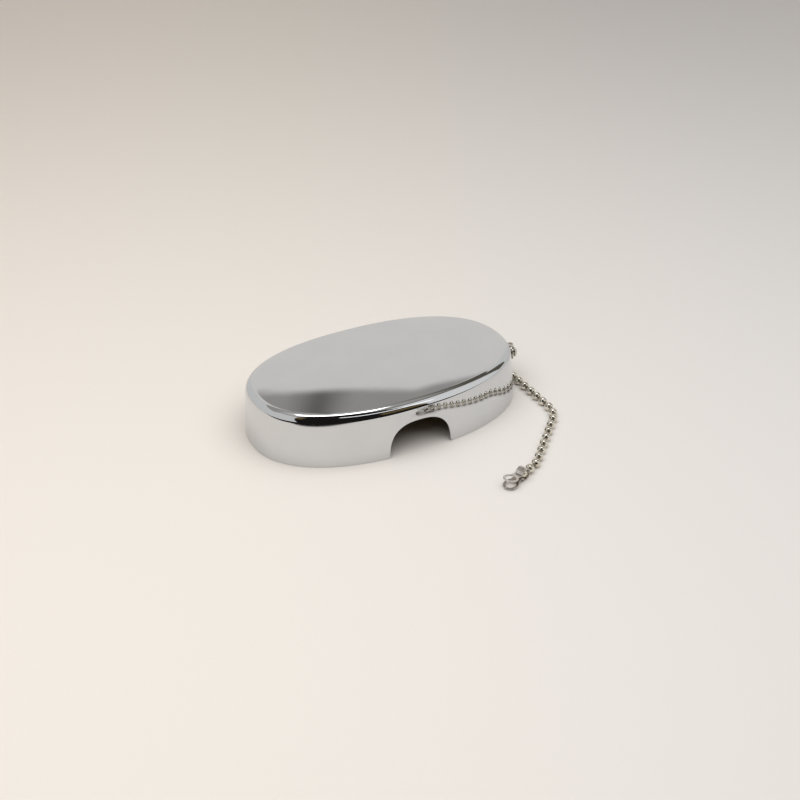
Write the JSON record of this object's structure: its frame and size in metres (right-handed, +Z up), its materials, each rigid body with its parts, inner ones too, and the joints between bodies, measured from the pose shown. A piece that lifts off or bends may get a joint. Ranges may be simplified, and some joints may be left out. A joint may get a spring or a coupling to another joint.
{
  "type": "deck pipe cap",
  "caption": "Oval slip-on cap for a deck pipe, chrome-plated sheet with a rode notch in one long wall, kept by a ball chain riveted to its end wall.",
  "frame": {"origin": "middle of the roof's flat underside, where the cap lands on the pipe's rim", "axes": "+Z up out of the roof, +X towards the end wall with the chain rivet, -Y towards the wall with the rode notch"},
  "size_m": [0.1076, 0.0993, 0.0208],
  "materials": {
    "cap_chrome": "bright chrome plate on pressed brass sheet, mirror polish",
    "rivet_metal": "plated brass round-head rivet, polished",
    "washer_brass": "plain brass washer, dull",
    "ball_nickel": "nickel-plated brass balls, bright",
    "link_nickel": "nickel-plated brass wire, duller than the balls",
    "coupling_nickel": "nickel-plated pressed steel strip, satin"
  },
  "bodies": {
    "cap": {"cap_shell": "cap_chrome", "chain_rivet": "rivet_metal", "rivet_washer": "washer_brass"},
    "coupling_cap_end": {"coupling_cap_end": "coupling_nickel"},
    "ball_01": {"ball_01": "ball_nickel"},
    "link_01": {"link_01": "link_nickel"},
    "ball_02": {"ball_02": "ball_nickel"},
    "link_02": {"link_02": "link_nickel"},
    "ball_03": {"ball_03": "ball_nickel"},
    "link_03": {"link_03": "link_nickel"},
    "ball_04": {"ball_04": "ball_nickel"},
    "link_04": {"link_04": "link_nickel"},
    "ball_05": {"ball_05": "ball_nickel"},
    "link_05": {"link_05": "link_nickel"},
    "ball_06": {"ball_06": "ball_nickel"},
    "link_06": {"link_06": "link_nickel"},
    "ball_07": {"ball_07": "ball_nickel"},
    "link_07": {"link_07": "link_nickel"},
    "ball_08": {"ball_08": "ball_nickel"},
    "link_08": {"link_08": "link_nickel"},
    "ball_09": {"ball_09": "ball_nickel"},
    "link_09": {"link_09": "link_nickel"},
    "ball_10": {"ball_10": "ball_nickel"},
    "link_10": {"link_10": "link_nickel"},
    "ball_11": {"ball_11": "ball_nickel"},
    "link_11": {"link_11": "link_nickel"},
    "ball_12": {"ball_12": "ball_nickel"},
    "link_12": {"link_12": "link_nickel"},
    "ball_13": {"ball_13": "ball_nickel"},
    "link_13": {"link_13": "link_nickel"},
    "ball_14": {"ball_14": "ball_nickel"},
    "link_14": {"link_14": "link_nickel"},
    "ball_15": {"ball_15": "ball_nickel"},
    "link_15": {"link_15": "link_nickel"},
    "ball_16": {"ball_16": "ball_nickel"},
    "link_16": {"link_16": "link_nickel"},
    "ball_17": {"ball_17": "ball_nickel"},
    "link_17": {"link_17": "link_nickel"},
    "ball_18": {"ball_18": "ball_nickel"},
    "link_18": {"link_18": "link_nickel"},
    "ball_19": {"ball_19": "ball_nickel"},
    "link_19": {"link_19": "link_nickel"},
    "ball_20": {"ball_20": "ball_nickel"},
    "link_20": {"link_20": "link_nickel"},
    "ball_21": {"ball_21": "ball_nickel"},
    "link_21": {"link_21": "link_nickel"},
    "ball_22": {"ball_22": "ball_nickel"},
    "coupling_free_end": {"coupling_free_end": "coupling_nickel"}
  },
  "joints": [
    {"name": "coupling_swivel", "type": "hinge", "parent": "cap", "child": "coupling_cap_end", "pos_m": [0.05125, -0.00698, -0.00614], "axis": [0.974, -0.2154, 0.0698], "range_deg": [-5, 95]},
    {"name": "ball_01_tilt", "type": "hinge", "parent": "coupling_cap_end", "child": "ball_01", "pos_m": [0.05348, -0.00113, -0.00787], "axis": [1, 0, 0], "range_deg": [0, 27]},
    {"name": "link_01_swing", "type": "hinge", "parent": "ball_01", "child": "link_01", "pos_m": [0.05348, -0.00045, -0.00826], "axis": [0.0054, 0.6511, 0.759], "range_deg": [-21, 2]},
    {"name": "ball_02_tilt", "type": "hinge", "parent": "link_01", "child": "ball_02", "pos_m": [0.0535, 0.00161, -0.01003], "axis": [-0.9998, 0.0084, -0.0172], "range_deg": [-47, 0]},
    {"name": "link_02_swing", "type": "hinge", "parent": "ball_02", "child": "link_02", "pos_m": [0.05353, 0.0023, -0.01143], "axis": [0, -0.9992, -0.0411], "range_deg": [-1, 3]},
    {"name": "ball_03_tilt", "type": "hinge", "parent": "link_02", "child": "ball_03", "pos_m": [0.0536, 0.00241, -0.01415], "axis": [-0.9998, -0.0079, -0.0203], "range_deg": [-47, 0]},
    {"name": "link_03_swing", "type": "hinge", "parent": "ball_03", "child": "link_03", "pos_m": [0.05363, 0.00184, -0.0156], "axis": [0.0153, -0.7043, 0.7097], "range_deg": [-2, 3]},
    {"name": "ball_04_tilt", "type": "hinge", "parent": "link_03", "child": "ball_04", "pos_m": [0.05367, -0.00009, -0.01752], "axis": [1, 0.0068, 0], "range_deg": [0, 47]},
    {"name": "link_04_swing", "type": "hinge", "parent": "ball_04", "child": "link_04", "pos_m": [0.05368, -0.00155, -0.01808], "axis": [0.0001, 0.0449, -0.999], "range_deg": [-16, 8]},
    {"name": "ball_05_tilt", "type": "hinge", "parent": "link_04", "child": "ball_05", "pos_m": [0.05368, -0.00426, -0.0182], "axis": [1, -0.0025, 0], "range_deg": [-21, 26]},
    {"name": "link_05_swing", "type": "hinge", "parent": "ball_05", "child": "link_05", "pos_m": [0.05367, -0.00582, -0.0182], "axis": [0, 0, -1], "range_deg": [-23, 21]},
    {"name": "ball_06_tilt", "type": "hinge", "parent": "link_05", "child": "ball_06", "pos_m": [0.05367, -0.00854, -0.0182], "axis": [-1, 0.0025, 0], "range_deg": [-23, 23]},
    {"name": "link_06_swing", "type": "hinge", "parent": "ball_06", "child": "link_06", "pos_m": [0.05366, -0.0101, -0.0182], "axis": [0, 0, 1], "range_deg": [-23, 23]},
    {"name": "ball_07_tilt", "type": "hinge", "parent": "link_06", "child": "ball_07", "pos_m": [0.05366, -0.01282, -0.0182], "axis": [-1, 0.0025, 0], "range_deg": [-23, 23]},
    {"name": "link_07_swing", "type": "hinge", "parent": "ball_07", "child": "link_07", "pos_m": [0.05365, -0.01438, -0.0182], "axis": [0, 0, 1], "range_deg": [-23, 23]},
    {"name": "ball_08_tilt", "type": "hinge", "parent": "link_07", "child": "ball_08", "pos_m": [0.05365, -0.0171, -0.0182], "axis": [1, -0.0025, 0], "range_deg": [-23, 23]},
    {"name": "link_08_swing", "type": "hinge", "parent": "ball_08", "child": "link_08", "pos_m": [0.05364, -0.01866, -0.0182], "axis": [0, 0, -1], "range_deg": [-23, 23]},
    {"name": "ball_09_tilt", "type": "hinge", "parent": "link_08", "child": "ball_09", "pos_m": [0.05364, -0.02138, -0.0182], "axis": [1, -0.0025, 0], "range_deg": [-23, 23]},
    {"name": "link_09_swing", "type": "hinge", "parent": "ball_09", "child": "link_09", "pos_m": [0.05363, -0.02294, -0.0182], "axis": [0, 0, -1], "range_deg": [-23, 23]},
    {"name": "ball_10_tilt", "type": "hinge", "parent": "link_09", "child": "ball_10", "pos_m": [0.05362, -0.02566, -0.0182], "axis": [-1, 0.0025, 0], "range_deg": [-23, 23]},
    {"name": "link_10_swing", "type": "hinge", "parent": "ball_10", "child": "link_10", "pos_m": [0.05362, -0.02722, -0.0182], "axis": [0, 0, 1], "range_deg": [-23, 23]},
    {"name": "ball_11_tilt", "type": "hinge", "parent": "link_10", "child": "ball_11", "pos_m": [0.05361, -0.02994, -0.0182], "axis": [-0.9995, 0.0322, 0], "range_deg": [-23, 23]},
    {"name": "link_11_swing", "type": "hinge", "parent": "ball_11", "child": "link_11", "pos_m": [0.05356, -0.0315, -0.0182], "axis": [0, 0, 1], "range_deg": [-14, 33]},
    {"name": "ball_12_tilt", "type": "hinge", "parent": "link_11", "child": "ball_12", "pos_m": [0.05301, -0.03417, -0.0182], "axis": [0.9279, -0.3729, 0], "range_deg": [-21, 21]},
    {"name": "link_12_swing", "type": "hinge", "parent": "ball_12", "child": "link_12", "pos_m": [0.05243, -0.03561, -0.0182], "axis": [0, 0, -1], "range_deg": [-34, 13]},
    {"name": "ball_13_tilt", "type": "hinge", "parent": "link_12", "child": "ball_13", "pos_m": [0.05099, -0.03792, -0.0182], "axis": [0.7453, -0.6667, 0], "range_deg": [-22, 22]},
    {"name": "link_13_swing", "type": "hinge", "parent": "ball_13", "child": "link_13", "pos_m": [0.04995, -0.03908, -0.0182], "axis": [0, 0, -1], "range_deg": [-25, 22]},
    {"name": "ball_14_tilt", "type": "hinge", "parent": "link_13", "child": "ball_14", "pos_m": [0.04808, -0.04106, -0.0182], "axis": [-0.728, 0.6855, 0], "range_deg": [-23, 23]},
    {"name": "link_14_swing", "type": "hinge", "parent": "ball_14", "child": "link_14", "pos_m": [0.04701, -0.0422, -0.0182], "axis": [0, 0, 1], "range_deg": [-23, 23]},
    {"name": "ball_15_tilt", "type": "hinge", "parent": "link_14", "child": "ball_15", "pos_m": [0.04515, -0.04418, -0.0182], "axis": [-0.728, 0.6855, 0], "range_deg": [-23, 23]},
    {"name": "link_15_swing", "type": "hinge", "parent": "ball_15", "child": "link_15", "pos_m": [0.04408, -0.04531, -0.0182], "axis": [0, 0, 1], "range_deg": [-23, 23]},
    {"name": "ball_16_tilt", "type": "hinge", "parent": "link_15", "child": "ball_16", "pos_m": [0.04221, -0.04729, -0.0182], "axis": [0.728, -0.6855, 0], "range_deg": [-23, 23]},
    {"name": "link_16_swing", "type": "hinge", "parent": "ball_16", "child": "link_16", "pos_m": [0.04114, -0.04843, -0.0182], "axis": [0, 0, -1], "range_deg": [-23, 23]},
    {"name": "ball_17_tilt", "type": "hinge", "parent": "link_16", "child": "ball_17", "pos_m": [0.03928, -0.05041, -0.0182], "axis": [0.728, -0.6855, 0], "range_deg": [-23, 23]},
    {"name": "link_17_swing", "type": "hinge", "parent": "ball_17", "child": "link_17", "pos_m": [0.03821, -0.05154, -0.0182], "axis": [0, 0, -1], "range_deg": [-23, 23]},
    {"name": "ball_18_tilt", "type": "hinge", "parent": "link_17", "child": "ball_18", "pos_m": [0.03634, -0.05353, -0.0182], "axis": [-0.728, 0.6855, 0], "range_deg": [-23, 23]},
    {"name": "link_18_swing", "type": "hinge", "parent": "ball_18", "child": "link_18", "pos_m": [0.03528, -0.05466, -0.0182], "axis": [0, 0, 1], "range_deg": [-23, 23]},
    {"name": "ball_19_tilt", "type": "hinge", "parent": "link_18", "child": "ball_19", "pos_m": [0.03341, -0.05664, -0.0182], "axis": [-0.728, 0.6855, 0], "range_deg": [-23, 23]},
    {"name": "link_19_swing", "type": "hinge", "parent": "ball_19", "child": "link_19", "pos_m": [0.03234, -0.05778, -0.0182], "axis": [0.0035, 0.0035, 1], "range_deg": [-22, 25]},
    {"name": "ball_20_tilt", "type": "hinge", "parent": "link_19", "child": "ball_20", "pos_m": [0.03043, -0.05971, -0.01819], "axis": [0.6149, -0.7886, 0], "range_deg": [-21, 24]},
    {"name": "link_20_swing", "type": "hinge", "parent": "ball_20", "child": "link_20", "pos_m": [0.0292, -0.06067, -0.01814], "axis": [-0.0507, -0.0285, -0.9983], "range_deg": [-32, 15]},
    {"name": "ball_21_tilt", "type": "hinge", "parent": "link_20", "child": "ball_21", "pos_m": [0.02683, -0.062, -0.01798], "axis": [0.3937, -0.9193, 0], "range_deg": [-22, 24]},
    {"name": "link_21_swing", "type": "hinge", "parent": "ball_21", "child": "link_21", "pos_m": [0.0254, -0.06261, -0.01786], "axis": [-0.0714, -0.0305, -0.997], "range_deg": [-24, 23]},
    {"name": "ball_22_tilt", "type": "hinge", "parent": "link_21", "child": "ball_22", "pos_m": [0.02291, -0.06368, -0.01765], "axis": [-0.393, 0.9195, 0], "range_deg": [-16, 23]},
    {"name": "free_coupling_swing", "type": "hinge", "parent": "ball_22", "child": "coupling_free_end", "pos_m": [0.02219, -0.06398, -0.01759], "axis": [-0.0209, -0.0004, 0.9998], "range_deg": [-1, 45]}
  ]
}
